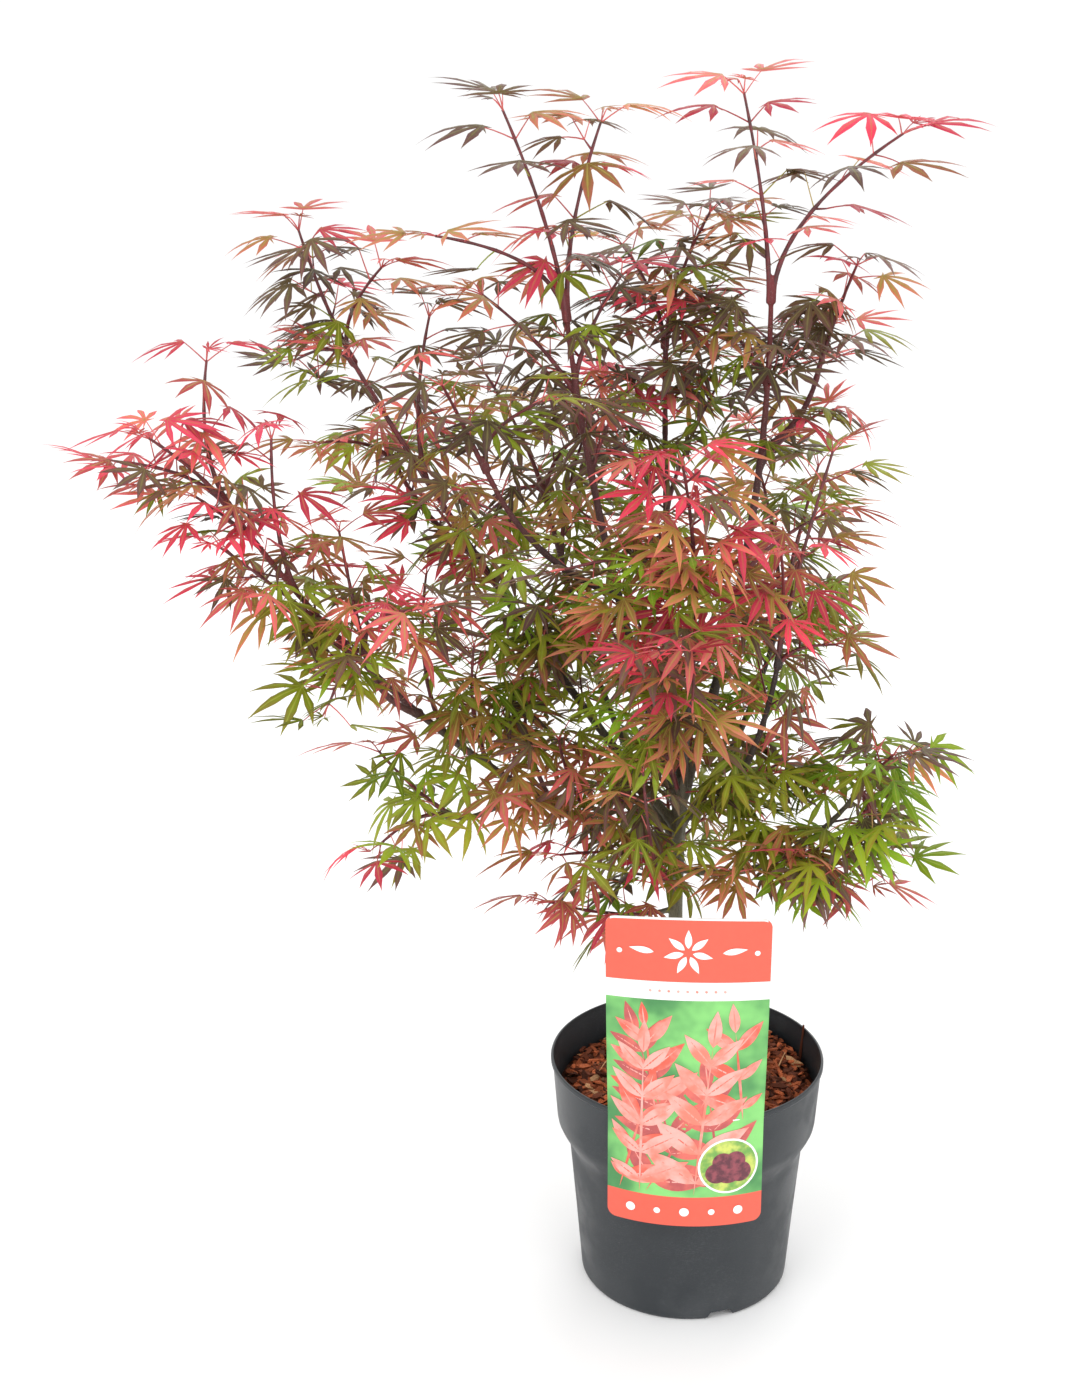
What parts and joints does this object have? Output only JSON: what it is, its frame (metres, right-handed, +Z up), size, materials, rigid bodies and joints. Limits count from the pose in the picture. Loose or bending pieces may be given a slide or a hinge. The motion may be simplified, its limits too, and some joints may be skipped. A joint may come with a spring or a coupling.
{
  "type": "potted japanese maple",
  "caption": "Young japanese maple in a round black nursery pot, an open spreading crown of deeply cut palmate leaves on slim dark stems, with a plant card on the rim.",
  "frame": {"origin": "centre of the pot's flat underside", "axes": "+Z up along the trunk, +X to the right and -Y to the front, where the plant card faces"},
  "size_m": [0.6236, 0.4422, 0.8281],
  "materials": {
    "pot_plastic": "satin black moulded plastic with faint scuffs",
    "compost": "rough bark mulch over compost",
    "card_print": "printed glossy plastic card",
    "bark": "smooth dark bark with fine upright streaks",
    "young_stem": "smooth red young wood and leaf stalks",
    "leaf_green": "satin leaf",
    "leaf_bronze": "satin leaf",
    "leaf_red": "satin leaf"
  },
  "bodies": {
    "root": {"pot": "pot_plastic", "soil": "compost", "plant_card": "card_print", "trunk": "bark", "bough_right": "bark", "bough_centre": "bark", "bough_left_high": "bark", "bough_left_low": "bark", "bough_right_low": "bark", "bough_back": "bark", "bough_front": "bark", "bough_right_back": "bark", "bough_left_back": "bark", "bough_front_right": "bark", "bough_front_left": "bark", "bough_right_high": "bark", "bough_left_side": "bark", "bough_left_under": "bark", "bough_left_mid": "bark", "foliage_left_low_outer": "leaf_red", "foliage_left_low_top": "leaf_red", "foliage_left_low_shoot": "leaf_red", "foliage_left_side_high": "leaf_green", "foliage_left_side_low": "leaf_green", "foliage_left_side_front": "leaf_green", "foliage_left_under_outer": "leaf_green", "foliage_left_hanging": "leaf_green", "foliage_left_high_top": "leaf_red", "foliage_left_high_inner": "leaf_bronze", "foliage_left_high_outer": "leaf_bronze", "foliage_left_mid_outer": "leaf_bronze", "foliage_left_mid_back": "leaf_green", "foliage_back_left_top": "leaf_bronze", "foliage_back_left_outer": "leaf_green", "foliage_back_left_inner": "leaf_bronze", "foliage_front_left_top": "leaf_bronze", "foliage_front_left_inner": "leaf_bronze", "foliage_centre_left": "leaf_bronze", "foliage_centre_leader_left": "leaf_red", "foliage_centre_leader_mid": "leaf_red", "foliage_right_leader": "leaf_red", "foliage_right_arm": "leaf_bronze", "foliage_back_top": "leaf_bronze", "foliage_back_shoot": "leaf_red", "foliage_back_side": "leaf_bronze", "foliage_right_high_top": "leaf_red", "foliage_right_high_outer": "leaf_bronze", "foliage_right_mid": "leaf_bronze", "foliage_right_back_top": "leaf_green", "foliage_right_back_low": "leaf_green", "foliage_front_right_top": "leaf_green", "foliage_front_right_outer": "leaf_green", "foliage_front_top": "leaf_red", "foliage_front_side": "leaf_green", "foliage_front_low": "leaf_green", "foliage_right_low_top": "leaf_green", "foliage_right_low_outer": "leaf_green", "foliage_trunk_left": "leaf_green", "foliage_trunk_back": "leaf_green", "foliage_trunk_front": "leaf_green"}
  },
  "joints": []
}
